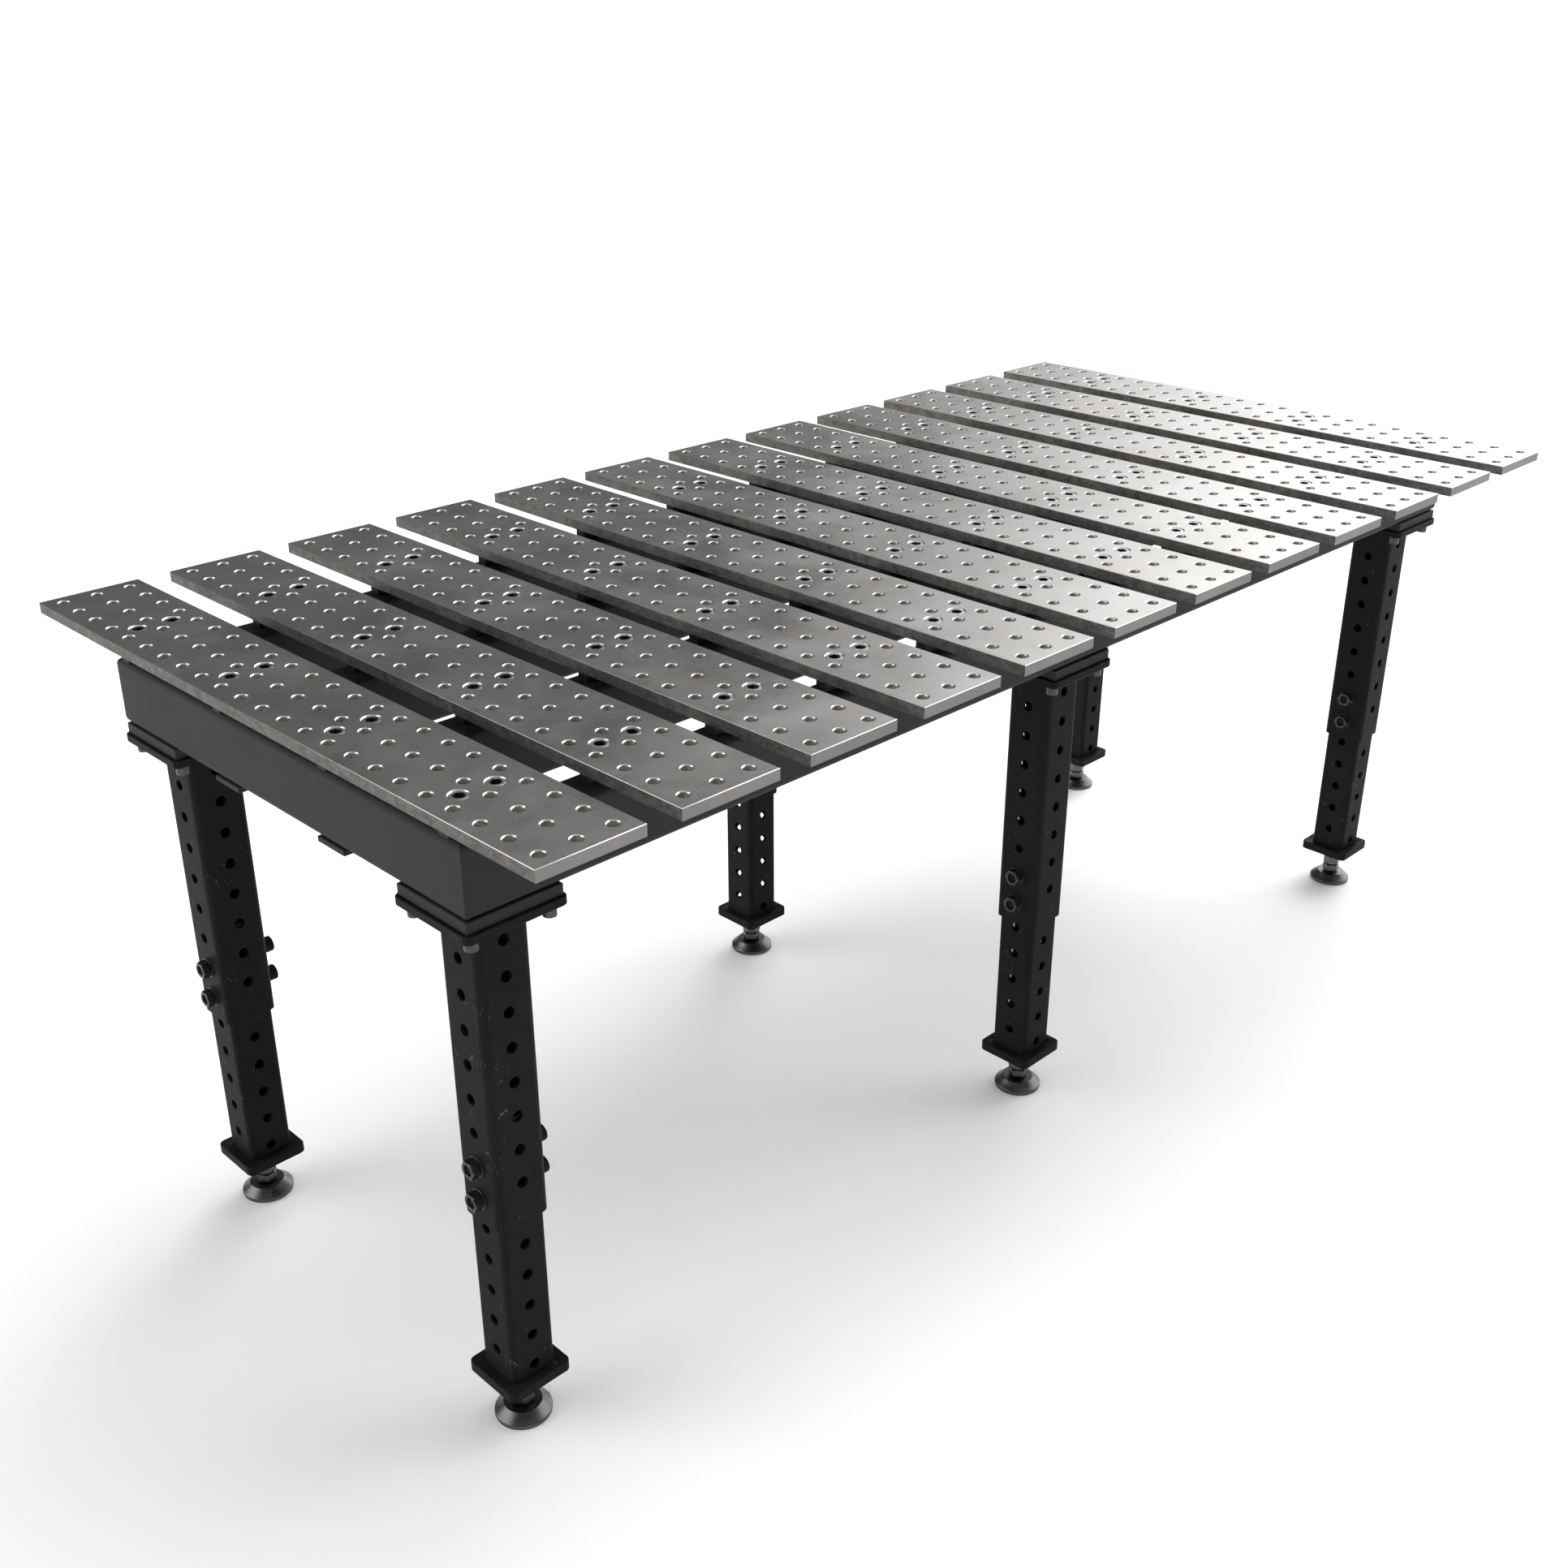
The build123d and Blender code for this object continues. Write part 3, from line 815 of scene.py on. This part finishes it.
def threaded(shell, radius, z0, z1, segments, pitch=2.5, depth=0.9, per_turn=6):
    """A cut thread, a true helix that fades out at both ends. Returns its rows of points
    from z0 up to z1."""
    rows = []
    count = max(2, round((z1 - z0) / pitch * per_turn))
    for k in range(count + 1):
        z = z0 + (z1 - z0) * k / count
        fade = min(1.0, k / per_turn, (count - k) / per_turn)
        row = []
        for i in range(segments):
            t = 2 * pi * i / segments
            phase = (z / pitch - i / segments) % 1
            r = radius - depth * fade * (1 - abs(2 * phase - 1))
            row.append((r * cos(t), r * sin(t), z))
        rows.append(shell.loop(row))
    shell.chain(rows)
    return rows


upper_low, upper_high = mm_box("upper_leg_left_front")
low_bolt_z = upper_low[2] + 37.5  # the lower of the two bolts that pin each leg
upper = Shell()
leg_tube(
    upper,
    side=80,
    wall=4,
    corner=12,
    z0=upper_low[2],
    z1=upper_high[2],
    first_x=low_bolt_z,
    first_y=low_bolt_z + GRID / 2,
)
upper_mesh = upper.mesh("upper_leg_tube", [LEG], 24)

FOOT_NUT, STUD_BORE = 30, 10.1
WELDED_NUT_HEIGHT, BASE_THICKNESS, BASE_SIDE = 18, 16, 100
lower_low, lower_high = mm_box("lower_leg_left_front")
base_z = lower_low[2] + WELDED_NUT_HEIGHT
lower = Shell()
leg_tube(
    lower,
    side=70,
    wall=5,
    corner=9,
    z0=base_z + BASE_THICKNESS,
    z1=lower_high[2],
    first_x=low_bolt_z - 5 * GRID,
    first_y=low_bolt_z - 5.5 * GRID,
)
slab(
    lower,
    lambda b: rounded(BASE_SIDE - 2 * b, BASE_SIDE - 2 * b, PLATE_CORNER - b, 0, 0, 8),
    base_z,
    base_z + BASE_THICKNESS,
    1.0,
    holes=[(0, 0, STUD_BORE)],
)
nut(lower, FOOT_NUT, lower_low[2], base_z, STUD_BORE, finish=1)
lower_mesh = lower.mesh("lower_leg_tube", [LEG, FOOT], 24)

jam_low, jam_high = mm_box("jam_nut_left_front")
jam = Shell()
nut(jam, FOOT_NUT, jam_low[2], jam_high[2], STUD_BORE, turn=15)
jam_mesh = jam.mesh("foot_jam_nut", [FOOT], 28)


def make_stud():
    """Threaded stud with a spanner hexagon, ending in a ball."""
    shell = Shell()
    low, high = mm_box("foot_stud_left_front")
    n, m = 36, HEXAGON_POINTS
    neck, collar, thread = 7.0, 7.6, 10.0
    z0, z1, turn = 22.0, 36.0, 8.0  # the hexagon's ends, and how far it stands turned

    def ring(radius, z):
        return shell.loop(level(circle(radius, n), z))

    ball_r, ball_z = 8.7, low[2] + 8.7
    loops = []
    for k in range(1, 9):
        t = -pi / 2 + k * radians(140) / 9
        loops.append(ring(ball_r * cos(t), ball_z + ball_r * sin(t)))
    loops.append(ring(neck, ball_z + sqrt(ball_r**2 - neck**2)))
    loops.append(ring(neck, z0 - 0.6))
    loops.append(ring(collar, z0))
    shell.chain(loops)
    shell.face(loops[0])
    face = FOOT_NUT * FACE_SHARE
    under = holed(circle(face, m), [circle(collar, n)])
    under = lay_sheet(shell, under, lambda u, v: (u, v, z0))
    over = holed(circle(face, m), [circle(thread, n)])
    over = lay_sheet(shell, over, lambda u, v: (u, v, z1))
    weld(shell, under[1], loops[-1])
    # the hexagon's points stand at the same turns as those of its round faces
    around = []
    for t in (2 * pi * i / m for i in range(m)):
        r = hexagon_radius(FOOT_NUT, turn, t)
        around.append((r * cos(t), r * sin(t), TRIM_SLOPE * (r - face)))
    a = shell.loop([(x, y, z0 + trim) for x, y, trim in around])
    b = shell.loop([(x, y, z1 - trim) for x, y, trim in around])
    shell.chain([under[0], a, b, over[0]])
    rows = threaded(shell, thread, z1 + 2.0, high[2] - 1.5, n)
    shell.bridge(over[1], rows[0])
    tip = ring(8.5, high[2])
    shell.bridge(rows[-1], tip)
    shell.face(tip)
    return shell.mesh("threaded_foot_stud", [FOOT], 30)


def make_foot_pad():
    """Round cone-sided pad with a socket that keeps the stud's ball."""
    shell = Shell()
    low, high = mm_box("foot_pad_left_front")
    reach = (high[0] - low[0]) / 2
    # its section, as radius and height: the socket, its mouth, the flat top, the hollow
    # cone, the round edge and the underside
    profile = []
    ball_r, ball_z = 9.0, 11.0
    for k in range(1, 12):
        t = -pi / 2 + k * radians(114.5) / 11.5
        profile.append((ball_r * cos(t), ball_z + ball_r * sin(t)))
    profile += [(8.2, 14.8), (8.2, 18.2), (8.9, 18.9), (9.4, 19.0)]
    profile += [(25.8, 19.0), (26.6, 18.85), (27.2, 18.5)]
    for k in range(1, 12):
        s = k / 12
        drop = 18.5 + (7.1 - 18.5) * s - 0.5 * sin(pi * s)
        profile.append((27.2 + (reach - 27.6) * s, drop))
    profile += [(reach - 0.35, 7.0), (reach - 0.1, 6.6), (reach, 6.1)]
    profile += [(reach, 1.0), (reach - 0.3, 0.3), (reach - 1, 0.0)]
    rings = [shell.loop(level(circle(r, 96), z)) for r, z in profile]
    shell.chain(rings)
    shell.face(rings[0])
    shell.face(rings[-1])
    return shell.mesh("levelling_foot_pad", [FOOT], 30)


stud_mesh, pad_mesh = make_stud(), make_foot_pad()
for place, (x, y) in leg_at.items():
    lower_body = f"lower_leg_{place}"
    stud_body = f"foot_stud_{place}"
    foot_body = f"foot_pad_{place}"
    for name, mesh, body, slot, node in (
        ("upper_tube", upper_mesh, "table_frame", "leg_paint", "upper_leg"),
        ("lower_tube", lower_mesh, lower_body, "leg_paint", "lower_leg"),
        ("lock_nut", jam_mesh, lower_body, "foot_steel", "jam_nut"),
        ("threaded_stud", stud_mesh, stud_body, "foot_steel", "foot_stud"),
        ("round_pad", pad_mesh, foot_body, "foot_steel", "foot_pad"),
    ):
        piece(f"{name}_{place}", mesh, body, [f"{node}_{place}"], (x, y, 0))

# bolts that pin the legs, along X, with their heads towards +X
NUT_HEIGHT, WASHER_HEIGHT = 13, 2
# a washer's section, as radius and height
WASHER = ((8.3, 0.2), (8.5, 0), (14.7, 0), (15, 0.3), (15, 1.7), (14.7, 2), (8.5, 2), (8.3, 1.8))
bolts, nuts, washers = Shell(), Shell(), Shell()
one_bolt = socket_screw(
    head_radius=12.0,
    head_height=24.0,
    shank_radius=7.8,
    length=116.0,
    flats=14.0,
    depth=8.0,
    edge=1.2,
    turn=30,
    knurl=0.3,
)
one_nut = Shell()
nut(one_nut, 24, 0, NUT_HEIGHT, 7.9, turn=90)
one_washer = Shell()
rings = [one_washer.loop(level(circle(r, 48), z)) for r, z in WASHER]
one_washer.chain(rings + rings[:1])
along_x = Matrix.Rotation(pi / 2, 4, "Y")
head_top, washer_face = 64, -40 - WASHER_HEIGHT
nut_face = washer_face - NUT_HEIGHT
for place, (x, y) in leg_at.items():
    for z in (low_bolt_z, low_bolt_z + GRID):
        for shell, part, offset in (
            (bolts, one_bolt, head_top),
            (nuts, one_nut, nut_face),
            (washers, one_washer, washer_face),
        ):
            shell.add(part, Matrix.Translation((x + offset, y, z)) @ along_x)
for name, shell, finishes, smooth, node in (
    ("leg_socket_bolts", bolts, [LEG, SOCKET_SHADE], 28, "leg_bolts"),
    ("leg_hex_nuts", nuts, [BOLT], 24, "leg_bolt_nuts"),
    ("leg_flat_washers", washers, [BOLT], 32, "leg_bolt_washers"),
):
    piece(name, shell.mesh(name, finishes, smooth), "table_frame", [node])


# ---------------------------------------------------------------- floor, light and camera
def make_floor():
    shell = Shell()
    rings = [shell.loop(level(circle(r, 64), 0.0)) for r in (2000, 8000, 150000)]
    shell.face(rings[0])
    shell.chain(rings)
    look = Look("white_studio_floor", Roughness=0.75, Emission_Strength=0.10)
    look.shader.inputs["Emission Color"].default_value = (1, 1, 1, 1)
    cloud = look.noise(look.node("TexCoord").outputs["Object"], 1.2, 3.0)
    look.set("Base Color", look.mix(cloud, (0.92, 0.92, 0.92, 1), (0.935, 0.935, 0.935, 1)))
    made = bpy.data.objects.new("studio_floor", shell.mesh("studio_floor", [look.material]))
    bpy.context.scene.collection.objects.link(made)
    made.location.z = -0.0002  # just below the feet, which stand at 0


def make_world():
    """A studio sky: dim, with a pale horizon, a pale ceiling and three soft windows of light.
    The table is lit by it and mirrors it, and stands before a white backdrop."""
    world = bpy.data.worlds.new("studio")
    bpy.context.scene.world = world
    world.use_nodes = True
    tree = world.node_tree
    out = tree.nodes["Background"]

    def node(kind, inputs=(), **settings):
        made = tree.nodes.new("ShaderNode" + kind)
        for name, value in settings.items():
            setattr(made, name, value)
        for socket, value in dict(inputs).items():
            if isinstance(value, bpy.types.NodeSocket):
                tree.links.new(value, made.inputs[socket])
            else:
                made.inputs[socket].default_value = value
        return made.outputs[0]

    direction = node("VectorMath", {0: node("TexCoord")}, operation="NORMALIZE")
    axes = tree.nodes.new("ShaderNodeSeparateXYZ")
    tree.links.new(direction, axes.inputs[0])
    height = axes.outputs["Z"]

    def smooth(value, low, high, a, b):
        return node(
            "MapRange",
            {"Value": value, "From Min": low, "From Max": high, "To Min": a, "To Max": b},
            interpolation_type="SMOOTHSTEP",
        )

    def window(azimuth, elevation, inner, outer, strength):
        """Light around one direction: full within the inner angle, none past the outer."""
        a, e = radians(azimuth), radians(elevation)
        towards = (cos(a) * cos(e), sin(a) * cos(e), sin(e))
        dot = tree.nodes.new("ShaderNodeVectorMath")
        dot.operation = "DOT_PRODUCT"
        tree.links.new(direction, dot.inputs[0])
        dot.inputs[1].default_value = towards
        dark, full = cos(radians(outer)), cos(radians(inner))
        return smooth(dot.outputs["Value"], dark, full, 0.0, strength)

    total = smooth(height, -0.01, 0.03, 1.2, 0.18)
    for part in (
        smooth(height, 0.72, 0.97, 0.0, 0.5),
        window(-4, 29, 24, 46, 2.75),
        window(14, 58, 10, 30, 3.1),
        window(150, 26, 12, 34, 3.0),
    ):
        total = node("Math", {0: total, 1: part}, operation="ADD")
    # the windows light the table; the backdrop behind it is seen as plain white
    seen = node("LightPath")
    total = node("Math", {0: total, 1: seen}, operation="MAXIMUM")
    tree.links.new(total, out.inputs["Strength"])
    out.inputs["Color"].default_value = (1, 1, 1, 1)


make_floor()
make_world()

camera = bpy.data.objects.new("camera", bpy.data.cameras.new("camera"))
bpy.context.scene.collection.objects.link(camera)
camera.location = (-2.13055, -1.88239, 1.8125)
camera.rotation_euler = (radians(90 - 25.206), 0, radians(-45))
camera.data.lens, camera.data.sensor_width = 40.09, 36.0
camera.data.clip_end = 400
bpy.context.scene.camera = camera
bpy.context.scene.view_settings.view_transform = "Standard"
